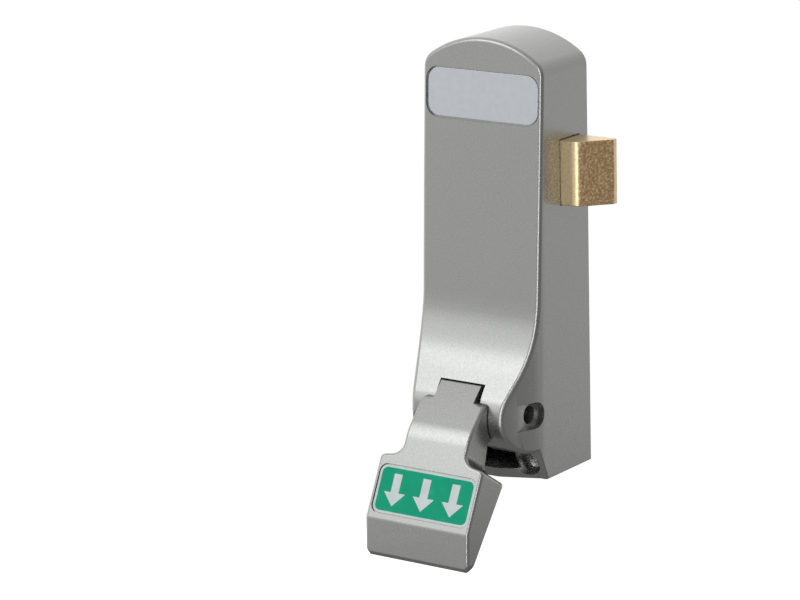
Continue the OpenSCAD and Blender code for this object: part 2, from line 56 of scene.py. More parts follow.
CASE_W = 48.0
CASE_H = 150.0
WALL = 2.5
ARCH_R = 38.0
TOP_CORNER_R = 6.0
CASE_D = 31.1
FRONT_LEAN = math.radians(2.92)
FRONT_REF_H = 64.0
FOOT_D = 28.0
SWEEP_R = 48.0
SWEEP_A = math.radians(36)
KNUCKLE_R = 13.4
KNUCKLE_END_A = math.radians(-95)
SIDE_STRAIGHT_D = 28.0
SIDE_BEND_R = 22.0
SIDE_BEND_A = math.radians(17.1)
KNUCKLE_SIDE_R = 72.0
KNUCKLE_SIDE_END_D = 40.5
PIVOT = (33.5, 24.0)
PIN_R = 6.35 / 2

FACE_EDGE = 1.4
BOTTOM_EDGE = 0.45

SLOT_HALF = 9.1
SLOT_TOP = 34.9
POCKET_R = 4.6
POCKET_FLOOR = 20.6
BORE_GAP = 0.05
RIM = 0.8
BOSS_R = 7.0
BOSS_IN = 16.0
BOSS_SKIN = 0.6
OPENING_HALF = 13.6
OPENING_LOW = 3.8
OPENING_HIGH = 10.0
LIP_REACH = 5.6
LIP_SIDE = 21.0
LIP_FLAT = 8.0
LIP_CORNER_R = 8.0
LIP_EDGE = 0.3
SCREW_X = 18.4
SCREW_H = 5.7
SCREW_RECESS_R = 4.2
SCREW_HOLE_R = 2.3
SCREW_SEAT = 24.3
SEAT_WALL = 1.0
POST_END = 21.3
GAP = 0.3

PLATE_MID_H = 130.45
NAME_W = 45.4
NAME_H = 17.7
NAME_R = 5.0
NAME_DEPTH = 1.0
NAME_T = 0.6
NAME_GAP = 0.6
NAME_EDGE = 0.14

# Where a block that cuts or trims starts and ends when it goes right through: depths, and half a width
BEHIND_D = -9.0
INSIDE_D = 20.0
PAST_CASE_D = 60.0
PAST_PAD_D = 80.0
PAST_SIDE_X = 30.0

# ---- small helpers ----


def place(x, forward, height):
    """A point of the drawing as a point of the frame, in metres."""
    return Vector((x * MM, -forward * MM, BOTTOM + height * MM))


def on_circle(centre, radius, angle):
    """The point of a circle of a drawing at an angle."""
    return centre[0] + radius * math.cos(angle), centre[1] + radius * math.sin(angle)


def arc(centre, radius, start, end, steps):
    """Points along an arc of a drawing, both ends included."""
    turn = (end - start) / steps
    return [on_circle(centre, radius, start + turn * i) for i in range(steps + 1)]


def bend(before, corner, after, radius, steps):
    """The arc that rounds one corner between two straight lines."""
    c = Vector(corner)
    u = (Vector(before) - c).normalized()
    v = (Vector(after) - c).normalized()
    half = u.angle(v) / 2
    centre = c + (u + v).normalized() * (radius / math.sin(half))
    first = c + u * (radius / math.tan(half)) - centre
    last = c + v * (radius / math.tan(half)) - centre
    start = math.atan2(first.y, first.x)
    swing = (math.atan2(last.y, last.x) - start + math.pi) % (2 * math.pi) - math.pi
    return arc(centre, radius, start, start + swing, steps)


def inset(points, depth):
    """A closed outline, drawn anticlockwise, moved inwards by a depth."""
    moved = []
    count = len(points)
    for i in range(count):
        p = Vector(points[i - 1])
        q = Vector(points[i])
        r = Vector(points[(i + 1) % count])
        a = (q - p).normalized()
        b = (r - q).normalized()
        na = Vector((-a.y, a.x))
        nb = Vector((-b.y, b.x))
        moved.append(tuple(q + (na + nb) * (depth / (1 + na.dot(nb)))))
    return moved


def nothing_selected():
    """Operators act on all that is selected, so each piece starts from an empty selection."""
    if bpy.context.mode != "OBJECT":
        bpy.ops.object.mode_set(mode="OBJECT")
    bpy.ops.object.select_all(action="DESELECT")


def pick(obj):
    """Selects one piece and makes it the active one."""
    nothing_selected()
    obj.select_set(True)
    bpy.context.view_layer.objects.active = obj


def named(name):
    """Names the piece that was just added, and its mesh."""
    obj = bpy.context.active_object
    obj.name = name
    obj.data.name = name
    return obj


def prism(name, corners, push):
    """Draws an outline corner by corner from one vertex, fills it and pushes it out into a solid."""
    nothing_selected()
    bpy.ops.mesh.primitive_plane_add(size=MM)
    obj = named(name)
    bpy.ops.object.mode_set(mode="EDIT")
    bpy.ops.mesh.select_mode(type="VERT")
    bpy.ops.mesh.select_all(action="SELECT")
    bpy.ops.mesh.merge(type="CENTER")
    bpy.ops.transform.translate(value=corners[0])
    for a, b in zip(corners, corners[1:] + corners[:1]):
        bpy.ops.mesh.extrude_region_move(TRANSFORM_OT_translate={"value": b - a})
    bpy.ops.mesh.select_all(action="SELECT")
    bpy.ops.mesh.remove_doubles(threshold=1e-7)
    bpy.ops.mesh.edge_face_add()
    bpy.ops.mesh.extrude_region_move(TRANSFORM_OT_translate={"value": push})
    bpy.ops.mesh.select_all(action="SELECT")
    bpy.ops.mesh.normals_make_consistent(inside=False)
    bpy.ops.object.mode_set(mode="OBJECT")
    return obj


def side_prism(name, outline, x0, x1):
    """A side view pushed across from one x to another."""
    corners = [place(x0, f, h) for f, h in outline]
    return prism(name, corners, Vector(((x1 - x0) * MM, 0, 0)))


def front_prism(name, outline, d0, d1):
    """A front view pushed forward from one depth to another."""
    corners = [place(x, d0, h) for x, h in outline]
    return prism(name, corners, Vector((0, -(d1 - d0) * MM, 0)))


def plan_prism(name, outline, h0, h1):
    """A plan [x, forward] pushed up from one height to another."""
    corners = [place(x, f, h0) for x, f in outline]
    return prism(name, corners, Vector((0, 0, (h1 - h0) * MM)))


def box_piece(name, low, high):
    """A block between two corners [x, forward, height]."""
    outline = [(low[1], low[2]), (high[1], low[2]), (high[1], high[2]), (low[1], high[2])]
    return side_prism(name, outline, low[0], high[0])


def bar(name, centre, radius, length, axis, sides=48):
    """A round bar along X, forward or up, from its middle."""
    nothing_selected()
    turns = {"x": (0, math.pi / 2, 0), "forward": (math.pi / 2, 0, 0), "up": (0, 0, 0)}
    bpy.ops.mesh.primitive_cylinder_add(
        vertices=sides, radius=radius * MM, depth=length * MM, location=centre, rotation=turns[axis]
    )
    obj = named(name)
    bpy.ops.object.transform_apply(location=True, rotation=True, scale=True)
    return obj


def cross_bar(name, centre, radius, x0, x1, sides=48):
    """A round bar from one x to another."""
    return bar(name, place((x0 + x1) / 2, *centre), radius, x1 - x0, "x", sides)


def deep_bar(name, x, h, radius, d0, d1, sides=48):
    """A round bar from one depth to another."""
    return bar(name, place(x, (d0 + d1) / 2, h), radius, d1 - d0, "forward", sides)


def apply_modifier(obj, kind, **settings):
    """Adds a modifier and makes its result the mesh."""
    pick(obj)
    modifier = obj.modifiers.new(kind.title(), kind)
    for key, value in settings.items():
        setattr(modifier, key, value)
    bpy.ops.object.modifier_apply(modifier=modifier.name)


def combine(obj, tools, operation):
    """Combines a piece with each tool in turn. The tools are used up."""
    for tool in tools:
        apply_modifier(obj, "BOOLEAN", operation=operation, object=tool, solver="MANIFOLD")
        bpy.data.objects.remove(tool)


def cut(obj, *tools):
    """Cuts tools out of a piece."""
    combine(obj, tools, "DIFFERENCE")


def join(obj, *tools):
    """Joins tools to a piece."""
    combine(obj, tools, "UNION")


def keep(obj, *tools):
    """Keeps what a piece shares with each tool."""
    combine(obj, tools, "INTERSECT")


def select_edges(obj, where, sharper):
    """Selects the edges whose faces meet at more than an angle and whose middle is in the right place."""
    pick(obj)
    bpy.ops.object.mode_set(mode="EDIT")
    bpy.ops.mesh.select_mode(type="EDGE")
    bpy.ops.mesh.select_all(action="DESELECT")
    bpy.ops.mesh.edges_select_sharp(sharpness=sharper)
    bpy.ops.object.mode_set(mode="OBJECT")
    mesh = obj.data
    for face in mesh.polygons:
        face.select = False
    for edge in mesh.edges:
        middle = (mesh.vertices[edge.vertices[0]].co + mesh.vertices[edge.vertices[1]].co) / 2
        edge.select = edge.select and where(middle.x / MM, -middle.y / MM, (middle.z - BOTTOM) / MM)
    bpy.ops.object.mode_set(mode="EDIT")


def round_edges(obj, width, steps, where=lambda x, f, h: True, sharper=math.radians(32)):
    """Rounds the sharp edges in one place."""
    select_edges(obj, where, sharper)
    bpy.ops.mesh.bevel(offset=width * MM, segments=steps, affect="EDGES", clamp_overlap=False)
    bpy.ops.object.mode_set(mode="OBJECT")


def clean(obj, distance=0.005):
    """Merges points that lie closer than a distance, so that no sliver spoils a bevel or the shading."""
    pick(obj)
    bpy.ops.object.mode_set(mode="EDIT")
    bpy.ops.mesh.select_mode(type="VERT")
    bpy.ops.mesh.select_all(action="SELECT")
    bpy.ops.mesh.remove_doubles(threshold=distance * MM)
    bpy.ops.mesh.dissolve_degenerate(threshold=min(distance, 0.005) * MM)
    bpy.ops.object.mode_set(mode="OBJECT")


def smooth(obj, angle=math.radians(32)):
    """Smooth shading that leaves flat faces flat."""
    pick(obj)
    bpy.ops.object.shade_smooth_by_angle(angle=angle)
    apply_modifier(obj, "WEIGHTED_NORMAL", keep_sharp=True, weight=80)


def finish_piece(obj, body, slot, material, *replaced):
    """Gives a piece its material and body, and says which CAD nodes it stands for; the slot is not used."""
    obj.data.materials.clear()
    obj.data.materials.append(material)
    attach(obj, body)
    if replaced:
        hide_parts(*replaced)
    return obj


# ---- case ----


def case_side():
    """Side view of the case, anticlockwise: foot, knuckle, hollow curve, leaning front, top."""
    front_d = CASE_D + (FRONT_REF_H - CASE_H) * math.tan(FRONT_LEAN)
    lean = Vector((math.cos(FRONT_LEAN), math.sin(FRONT_LEAN)))
    slope = Vector((math.cos(SWEEP_A), math.sin(SWEEP_A)))
    d1 = lean.dot((CASE_D, FRONT_REF_H)) + SWEEP_R
    d2 = slope.dot(PIVOT) + KNUCKLE_R + SWEEP_R
    cross = lean.x * slope.y - lean.y * slope.x
    centre = ((d1 * slope.y - d2 * lean.y) / cross, (d2 * lean.x - d1 * slope.x) / cross)
    knuckle = arc(PIVOT, KNUCKLE_R, KNUCKLE_END_A, SWEEP_A, 22)
    sweep = arc(centre, -SWEEP_R, SWEEP_A, FRONT_LEAN, 16)
    return [(0, 0), (FOOT_D, 0)] + knuckle + sweep + [(front_d, CASE_H + 1), (0, CASE_H + 1)]


def case_front(depth=0.0):
    """Front view of the case, anticlockwise, moved inwards by a depth."""
    half = CASE_W / 2 - depth
    top_r = TOP_CORNER_R - depth
    arch_r = ARCH_R - depth
    rise = math.sqrt((arch_r - top_r) ** 2 - (half - top_r) ** 2)
    meet = math.atan2(rise, half - top_r)
    arch_h = CASE_H - ARCH_R
    top_right = arc((half - top_r, arch_h + rise), top_r, 0, meet, 8)
    arch = arc((0, arch_h), arch_r, meet, math.pi - meet, 24)
    top_left = arc((top_r - half, arch_h + rise), top_r, math.pi - meet, math.pi, 8)
    return [(-half, depth), (half, depth)] + top_right + arch[1:-1] + top_left


def case_plan():
    """Plan of the case: parallel sides that bend in and then curve round the knuckle."""
    half = CASE_W / 2
    reach = PIVOT[0] + KNUCKLE_R + 1
    bend_x = half - SIDE_BEND_R
    bend_end = on_circle((bend_x, SIDE_STRAIGHT_D), SIDE_BEND_R, SIDE_BEND_A)
    centre = on_circle(bend_end, -KNUCKLE_SIDE_R, SIDE_BEND_A)
    end = math.asin((KNUCKLE_SIDE_END_D - centre[1]) / KNUCKLE_SIDE_R)
    right = arc((bend_x, SIDE_STRAIGHT_D), SIDE_BEND_R, 0, SIDE_BEND_A, 5)
    right += arc(centre, KNUCKLE_SIDE_R, SIDE_BEND_A, end, 3)[1:]
    right.append((right[-1][0] - (reach - KNUCKLE_SIDE_END_D) * math.tan(end), reach))
    left = [(-x, f) for x, f in reversed(right)]
    return [(-half, -1), (half, -1)] + right + left


def case_form(name, depth=0.0):
    """The case as a solid. The inner one is smaller all round and goes on behind the door's face."""
    side = inset(case_side(), depth)
    if depth:
        side = [(-5, h) if f < 2 * depth else (f, h) for f, h in side]
    half = CASE_W / 2
    form = side_prism(name, side, -half - 1, half + 1)
    keep(form, front_prism(name + "_face", case_front(depth), BEHIND_D, PAST_CASE_D))
    plan = case_plan()
    if depth:
        plan = [(x, BEHIND_D) if f < 2 * depth else (x, f) for x, f in inset(plan, depth)]
    keep(form, plan_prism(name + "_plan", plan, -3, CASE_H + 3))
    return form


def on_front(forward_of_face, x, up):
    """A point on the leaning front face, from the middle of the name plate."""
    forward = CASE_D + (FRONT_REF_H - PLATE_MID_H) * math.tan(FRONT_LEAN)
    c, s = math.cos(FRONT_LEAN), math.sin(FRONT_LEAN)
    return place(x, forward + forward_of_face * c - up * s, PLATE_MID_H + forward_of_face * s + up * c)


def round_rect(width, height, radius, steps=6):
    """A rectangle with round corners round the origin, anticlockwise."""
    w, h = width / 2 - radius, height / 2 - radius
    right = math.pi / 2
    corners = []
    for i, (cx, cy) in enumerate([(w, -h), (w, h), (-w, h), (-w, -h)]):
        corners += arc((cx, cy), radius, right * (i - 1), right * i, steps)
    return corners


def front_slab(name, width, height, radius, low, high):
    """A slab with round corners on the leaning front face, from one depth to another."""
    corners = [on_front(low, x, up) for x, up in round_rect(width, height, radius)]
    return prism(name, corners, on_front(high, 0, 0) - on_front(low, 0, 0))


def pin_rim(side):
    """The countersink of the pivot bore on one side."""
    nothing_selected()
    depth = 2 * RIM
    bpy.ops.mesh.primitive_cone_add(
        vertices=48,
        radius1=(PIN_R - RIM) * MM,
        radius2=(PIN_R + RIM) * MM,
        depth=depth * MM,
        location=place(side * POCKET_FLOOR, *PIVOT),
        rotation=(0, side * math.pi / 2, 0),
    )
    rim = named("pin_rim")
    bpy.ops.object.transform_apply(location=True, rotation=True, scale=True)
    return rim


def foot_lip():
    """The lip under the opening, which comes forward between the screws and leans as the foot does."""
    reach = FOOT_D + LIP_REACH
    outline = [(-LIP_SIDE, FOOT_D - 1.5), (LIP_SIDE, FOOT_D - 1.5), (LIP_SIDE, FOOT_D + 0.2)]
    outline += bend((LIP_SIDE, FOOT_D), (LIP_FLAT, reach), (0, reach), LIP_CORNER_R, 5)
    outline += [(-x, f) for x, f in reversed(outline[2:])]
    foot_top = on_circle(PIVOT, KNUCKLE_R, KNUCKLE_END_A)
    lean = (foot_top[0] - FOOT_D) / foot_top[1]
    low = 0.05
    corners = [place(x, f + lean * low, low) for x, f in outline]
    lip = prism("foot_lip", corners, place(0, lean * (OPENING_LOW - low), OPENING_LOW) - place(0, 0, low))
    round_edges(lip, LIP_EDGE, 2, lambda x, f, h: f > FOOT_D + 0.3)
    return lip


def on_face_edge(x, forward, height):
    """Whether a point is on the edge round the case's front, and not in the middle where the slot is cut."""
    return forward > 15 and height > 0.3 and not (abs(x) < 1 < height < 30)


def on_bottom_edge(x, forward, height):
    """Whether a point is on the edge round the case's bottom, the back left out."""
    return height < 0.3 and forward > 0.1


def add_pivot_ends(shell):
    """Bosses inside the knuckle, and the pockets that show the pin's ends and run out at the front."""
    half = CASE_W / 2
    for side in (-1, 1):
        x0, x1 = sorted((side * BOSS_IN, side * half))
        boss = cross_bar("pivot_boss", PIVOT, BOSS_R, x0, x1)
        keep(boss, case_form("boss_limit", BOSS_SKIN))
        x0, x1 = sorted((side * POCKET_FLOOR, side * (half + 1)))
        pocket = cross_bar("pocket", PIVOT, POCKET_R, x0, x1)
        low, high = PIVOT[1] - POCKET_R, PIVOT[1] + POCKET_R
        join(pocket, box_piece("run_out", (x0, PIVOT[0], low), (x1, PAST_CASE_D, high)))
        join(shell, boss)
        cut(shell, pocket, pin_rim(side))
    cut(shell, cross_bar("pivot_bore", PIVOT, PIN_R + BORE_GAP, -half, half))


def add_screw_seats(shell):
    """A recess with a hole for each cover screw, in its own boss."""
    for side in (-1, 1):
        x = side * SCREW_X
        seat = deep_bar("screw_boss", x, SCREW_H, SCREW_RECESS_R + SEAT_WALL, POST_END + GAP, SCREW_SEAT + 6)
        keep(seat, case_form("seat_limit", BOSS_SKIN))
        join(shell, seat)
        cut(shell, deep_bar("screw_recess", x, SCREW_H, SCREW_RECESS_R, SCREW_SEAT, PAST_CASE_D))
        cut(shell, deep_bar("screw_hole", x, SCREW_H, SCREW_HOLE_R, POST_END - 1, SCREW_SEAT + 1))


def bolt_window():
    """The block that opens the case's side for the bolt, with a gap all round."""
    low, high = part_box("latch_bolt")
    inner = (CASE_W / 2 - WALL - 1, -high.y / MM - GAP, (low.z - BOTTOM) / MM - GAP)
    outer = (CASE_W / 2 + 1, -low.y / MM + GAP, (high.z - BOTTOM) / MM + GAP)
    return box_piece("bolt_window", inner, outer)


def make_case(paint):
    """The die-cast case: shell, foot lip, pivot bosses, screw seats and all its openings."""
    shell = case_form("case_shell")
    clean(shell, 0.3)
    round_edges(shell, FACE_EDGE, 5, on_face_edge)
    round_edges(shell, BOTTOM_EDGE, 2, on_bottom_edge)
    cut(shell, case_form("case_hollow", WALL))
    join(shell, foot_lip())
    add_pivot_ends(shell)
    add_screw_seats(shell)
    slot_low = (-SLOT_HALF, PIVOT[0] - 2, OPENING_HIGH - 4)
    opening_low = (-OPENING_HALF, INSIDE_D, OPENING_LOW)
    cut(
        shell,
        box_piece("slot", slot_low, (SLOT_HALF, PAST_CASE_D, SLOT_TOP)),
        box_piece("opening", opening_low, (OPENING_HALF, PIVOT[0] + 2, OPENING_HIGH)),
        front_slab("name_recess", NAME_W, NAME_H, NAME_R, -NAME_DEPTH, 3),
        bolt_window(),
    )
    clean(shell)
    smooth(shell)
    return finish_piece(shell, "case", "silver_paint", paint, "housing")


def make_name_plate(satin):
    """The bare plate in its recess, with a fine chamfer."""
    width, height = NAME_W - 2 * NAME_GAP, NAME_H - 2 * NAME_GAP
    plate = front_slab("name_plate_satin", width, height, NAME_R - NAME_GAP, -NAME_DEPTH, NAME_T - NAME_DEPTH)
    round_edges(plate, NAME_EDGE, 2)
    smooth(plate)
    return finish_piece(plate, "case", "satin_plate", satin, "name_plate")


HEAD_R = 3.25
HEAD_TOP = SCREW_SEAT + 2.2
HEAD_DOME = 1.05
SHANK_R = 2.0
SHANK_END = POST_END - 8
CROSS_REACH = 2.0
CROSS_HALF = 0.55
CROSS_DEPTH = 1.0
CROSS_MIDDLE_R = 0.95
CROSS_MIDDLE_DEPTH = 1.5
CROSS_TURN = 0.35


def cross_slot(x, turn):
    """One of the two slots of a cross recess, turned about the screw's axis."""
    low = (-CROSS_REACH, HEAD_TOP - CROSS_DEPTH, -CROSS_HALF)
    slot = box_piece("cross", low, (CROSS_REACH, HEAD_TOP + 1, CROSS_HALF))
    pick(slot)
    bpy.ops.object.mode_set(mode="EDIT")
    bpy.ops.mesh.select_all(action="SELECT")
    bpy.ops.transform.rotate(value=turn, orient_axis="Y", center_override=place(0, HEAD_TOP, 0))
    bpy.ops.transform.translate(value=(x * MM, 0, SCREW_H * MM))
    bpy.ops.object.mode_set(mode="OBJECT")
    return slot


def make_cover_screws(steel):
    """Two domed screws with a cross recess."""
    screws = []
    for side in (-1, 1):
        x = side * SCREW_X
        screw = deep_bar("cover_screw", x, SCREW_H, HEAD_R, SCREW_SEAT, HEAD_TOP)
        round_edges(screw, HEAD_DOME, 5, lambda x, f, h: f > HEAD_TOP - 0.1)
        join(screw, deep_bar("shank", x, SCREW_H, SHANK_R, SHANK_END, SCREW_SEAT + 0.5, 24))
        cut(screw, cross_slot(x, CROSS_TURN), cross_slot(x, CROSS_TURN + math.pi / 2))
        middle = (HEAD_TOP - CROSS_MIDDLE_DEPTH, HEAD_TOP + 1)
        cut(screw, deep_bar("cross_middle", x, SCREW_H, CROSS_MIDDLE_R, *middle, 16))
        screws.append(screw)
    pick(screws[0])
    screws[1].select_set(True)
    bpy.ops.object.join()
    both = named("cover_screws_plated")
    clean(both)
    smooth(both)
    return finish_piece(both, "case", "bright_steel", steel, "cover_screws")


# ---- pad ----

TONGUE_HALF = 8.1
NECK_HALF = 12.85
PAD_HALF = 21.0
PAD_WALL = 2.6
TONGUE_TOP = (43.3, 34.6)
NECK_TOP_H = 29.6
NECK_BEND = (57.5, 20.4)
PAD_KNEE = (71.7, -8.3)
PAD_FRONT_LOW = (72.0, -20.6)
PAD_TIP = (70.4, -22.3)
PAD_BACK_LOW = (68.5, -19.6)
PAD_BACK_TOP = (50.4, 3.7)
NECK_BACK = (46.9, 16.5)
PAD_SHOULDER = (62.2, 11.2)
PAD_HOLLOW = [(54.7, -29.7), (69.3, -15.1), (69.1, -8.9), (61.6, 6), (58.9, 6), (51.8, 1.5), (39.8, -10.5)]
TIP_R = 0.9
FRONT_LOW_R = 1.5
KNEE_R = 2.5
NECK_R = 20
TONGUE_TOP_R = 0.8
LOW_CORNER_R = 3.5
NECK_STEP_R = 1.6
SHOULDER_H = 11.8
SHOULDER_R = 2.0
ARMPIT_H = 13.4
ARMPIT_R = 5
BARREL_R = 9.4
BARREL_TOP_A = 0.585 * math.pi
NECK_CLEAR_R = KNUCKLE_R + 0.5
EAR_IN = 4.3
HUB_GAP_R = 8.9
BUSH_R = PIN_R + 1.3
DOWEL = (PIVOT[0], PIVOT[1] + 6.2)
DOWEL_R = 1.25
PAST_PAD_X = PAD_HALF + 2
PAST_TONGUE_H = 80.0
CRANK_ROOM = 20.0
PAD_EDGE = 1.2
PAD_EDGE_SLOPE = 0.465
PAD_EDGE_D = 61.4

LABEL_W = 39.4
LABEL_H = 17.2
LABEL_R = 3.0
LABEL_DEPTH = 0.9
LABEL_TOP = -0.5
LABEL_GAP = 0.25
BORDER = 1.15
PANEL_R = 2.0
PANEL_RISE = 0.06
ARROW_RISE = 0.1
SUNK = 0.02
ARROW_PITCH = 11.8
ARROW_HALF_L = 5.6
ARROW_HEAD_HALF = 4.3
ARROW_HEAD_UP = -0.9
ARROW_STEM_HALF = 1.6


def pad_side():
    """Side view of tongue, neck and pad, anticlockwise from the lower back corner."""
    tip = bend(PAD_BACK_LOW, PAD_TIP, PAD_FRONT_LOW, TIP_R, 4)
    front_low = bend(PAD_TIP, PAD_FRONT_LOW, PAD_KNEE, FRONT_LOW_R, 2)
    knee = bend(PAD_FRONT_LOW, PAD_KNEE, NECK_BEND, KNEE_R, 2)
    neck = bend(PAD_KNEE, NECK_BEND, TONGUE_TOP, NECK_R, 6)
    barrel = arc(PIVOT, BARREL_R, BARREL_TOP_A, BARREL_TOP_A + math.pi, 20)
    top = bend(NECK_BEND, TONGUE_TOP, barrel[0], TONGUE_TOP_R, 2)
    return [PAD_BACK_LOW] + tip + front_low + knee + neck + top + barrel + [NECK_BACK, PAD_BACK_TOP]


def pad_front():
    """Front view of tongue, neck and pad, anticlockwise from the bottom, before the shoulders are cut."""
    low = (PAD_HALF, PAD_TIP[1])
    side = (PAD_HALF, NECK_TOP_H - 3)
    neck = (NECK_HALF, NECK_TOP_H - 3)
    neck_top = (NECK_HALF, NECK_TOP_H)
    step = (TONGUE_HALF, NECK_TOP_H)
    top = (TONGUE_HALF, TONGUE_TOP[1] + 1)
    right = bend((0, low[1]), low, side, LOW_CORNER_R, 6) + [side, neck]
    right += bend(neck, neck_top, step, NECK_STEP_R, 4) + [step, top]
    return right + [(-x, h) for x, h in reversed(right)]


def shoulder_room(side):
    """What is cut away beside the neck. It slopes down towards the back, square to the pad's face."""
    low = (PAD_HALF, 0)
    shoulder = (PAD_HALF, SHOULDER_H)
    armpit = (NECK_HALF, ARMPIT_H)
    top = (NECK_HALF, PAST_TONGUE_H)
    right = bend(low, shoulder, armpit, SHOULDER_R, 6) + bend(shoulder, armpit, top, ARMPIT_R, 8)
    outline = right + [top, (PAST_PAD_X, top[1]), (PAST_PAD_X, right[0][1])]
    fall = (PAD_SHOULDER[1] - PAD_BACK_TOP[1]) / (PAD_SHOULDER[0] - PAD_BACK_TOP[0])
    drop = (PAD_SHOULDER[0] - INSIDE_D) * fall
    corners = [place(side * x, INSIDE_D, h - drop) for x, h in outline]
    run = PAST_PAD_D - INSIDE_D
    return prism("shoulder_room", corners, place(0, run, run * fall) - place(0, 0, 0))


def pad_frame():
    """Middle, direction outwards and direction upwards of the pad's face, in the side view."""
    along = (Vector(PAD_KNEE) - Vector(PAD_SHOULDER)).normalized()
    middle = (Vector(PAD_KNEE) + Vector(PAD_SHOULDER)) / 2 + 0.3 * along
    return middle, Vector((-along.y, along.x)), -along


def pad_slab(name, outline, low, high):
    """An outline [x, up] on the pad's face, pushed out from one depth to another."""
    middle, out, up = pad_frame()

    def point(x, rise, depth):
        p = middle + out * depth + up * rise
        return place(x, p.x, p.y)

    return prism(name, [point(x, rise, low) for x, rise in outline], point(0, 0, high) - point(0, 0, low))


def on_pad_edge(x, forward, height):
    """Whether a point of the pad is in front of a sloping line by its shoulder, and below the tongue."""
    return forward + PAD_EDGE_SLOPE * height > PAD_EDGE_D and height < NECK_TOP_H + 0.5


def make_pad(paint):
    """The die-cast pad with its neck and tongue, hollow at the back, with ears for the pin and the crank."""
    pad = side_prism("push_pad_cast", pad_side(), -PAD_HALF - 1, PAD_HALF + 1)
    keep(pad, front_prism("pad_outline", pad_front(), INSIDE_D, PAST_PAD_D))
    cut(pad, shoulder_room(-1), shoulder_room(1))
    clean(pad, 0.3)
    round_edges(pad, PAD_EDGE, 5, on_pad_edge)
    for side in (-1, 1):
        x0, x1 = sorted((side * TONGUE_HALF, side * PAST_PAD_X))
        cut(pad, cross_bar("knuckle_room", PIVOT, NECK_CLEAR_R, x0, x1, 96))
    crank_low = (-EAR_IN, PIVOT[0] - CRANK_ROOM, PIVOT[1] - CRANK_ROOM)
    crank_high = (EAR_IN, PIVOT[0], PIVOT[1] + CRANK_ROOM)
    cut(
        pad,
        side_prism("pad_hollow", PAD_HOLLOW, PAD_WALL - PAD_HALF, PAD_HALF - PAD_WALL),
        cross_bar("hub_room", PIVOT, HUB_GAP_R, -EAR_IN, EAR_IN),
        box_piece("crank_room", crank_low, crank_high),
        cross_bar("bush_seat", PIVOT, BUSH_R, -PAST_SIDE_X, PAST_SIDE_X),
        cross_bar("dowel_seat", DOWEL, DOWEL_R, -PAST_SIDE_X, PAST_SIDE_X, 24),
        pad_slab("label_recess", round_rect(LABEL_W, LABEL_H, LABEL_R), -LABEL_DEPTH, 4),
    )
    clean(pad)
    smooth(pad)
    return finish_piece(pad, "pad", "silver_paint", paint, "push_pad")


def label_layer(name, margin, corner_r, low, high, edge):
    """One layer of the label: the recess's outline less a margin, with its edges just broken."""
    outline = round_rect(LABEL_W - 2 * margin, LABEL_H - 2 * margin, corner_r)
    layer = pad_slab(name, outline, low, high)
    round_edges(layer, edge, 2)
    smooth(layer)
    return layer


def make_label(white, green):
    """White backing, green panel and three plain arrows, each in thin relief."""
    backing = label_layer("label_backing", LABEL_GAP, LABEL_R - LABEL_GAP, -LABEL_DEPTH, LABEL_TOP, 0.1)
    finish_piece(backing, "pad", "green_label", white, "push_label")
    panel = label_layer("label_panel", BORDER, PANEL_R, LABEL_TOP - SUNK, LABEL_TOP + PANEL_RISE, 0.03)
    finish_piece(panel, "pad", "green_label", green)
    head = (ARROW_HEAD_HALF, ARROW_HEAD_UP)
    right = [head, (ARROW_STEM_HALF, ARROW_HEAD_UP), (ARROW_STEM_HALF, ARROW_HALF_L)]
    arrow = [(0, -ARROW_HALF_L)] + right + [(-x, up) for x, up in reversed(right)]
    low = LABEL_TOP + PANEL_RISE - SUNK
    for i in (-1, 0, 1):
        outline = [(x + ARROW_PITCH * i, up) for x, up in arrow]
        mark = pad_slab(f"label_arrow_{i + 2}", outline, low, LABEL_TOP + ARROW_RISE)
        smooth(mark)
        finish_piece(mark, "pad", "green_label", white)


# ---- bolt ----

BEVEL_W = 8.6
NOSE_T = 2.2
SHOULDER_CORNER_R = 4.5
BOLT_EDGE = 0.35
SPRING_BORE_R = 2.8
SPRING_BORE_END = 20
SPRING_RISE = 7
DRIVE_PIN_X = 7
DRIVE_BORE_R = 2.52
DRIVE_BORE_DEPTH = 5


def make_bolt():
    """Latch bolt: square at the back, bevelled to the tip, with a rounded corner and broken edges."""
    low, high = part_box("latch_bolt")
    rear, tip = low.x / MM, high.x / MM
    front, back = -low.y / MM, -high.y / MM
    h0, h1 = (low.z - BOTTOM) / MM, (high.z - BOTTOM) / MM
    shoulder = (tip - BEVEL_W, front)
    nose = (tip, back + NOSE_T)
    bevel_normal = Vector((front - nose[1], -BEVEL_W, 0)).normalized()
    brass = brass_metal(place(*nose, 0), bevel_normal)
    rounded = bend((rear, front), shoulder, nose, SHOULDER_CORNER_R, 10)
    outline = [(rear, back), (tip, back), nose] + rounded[::-1] + [(rear, front)]
    bolt = plan_prism("latch_bolt_brass", outline, h0, h1)
    round_edges(bolt, BOLT_EDGE, 3, sharper=math.radians(40))
    middle, mid_h = (front + back) / 2, (h0 + h1) / 2
    for rise in (-SPRING_RISE, SPRING_RISE):
        bore_at = (middle, mid_h + rise)
        cut(bolt, cross_bar("spring_bore", bore_at, SPRING_BORE_R, rear - 1, SPRING_BORE_END, 32))
    cut(bolt, deep_bar("pin_bore", DRIVE_PIN_X, mid_h, DRIVE_BORE_R, back - 1, back + DRIVE_BORE_DEPTH, 32))
    clean(bolt)
    smooth(bolt)
    return finish_piece(bolt, "bolt", "brass", brass, "latch_bolt")


# ---- works inside ----


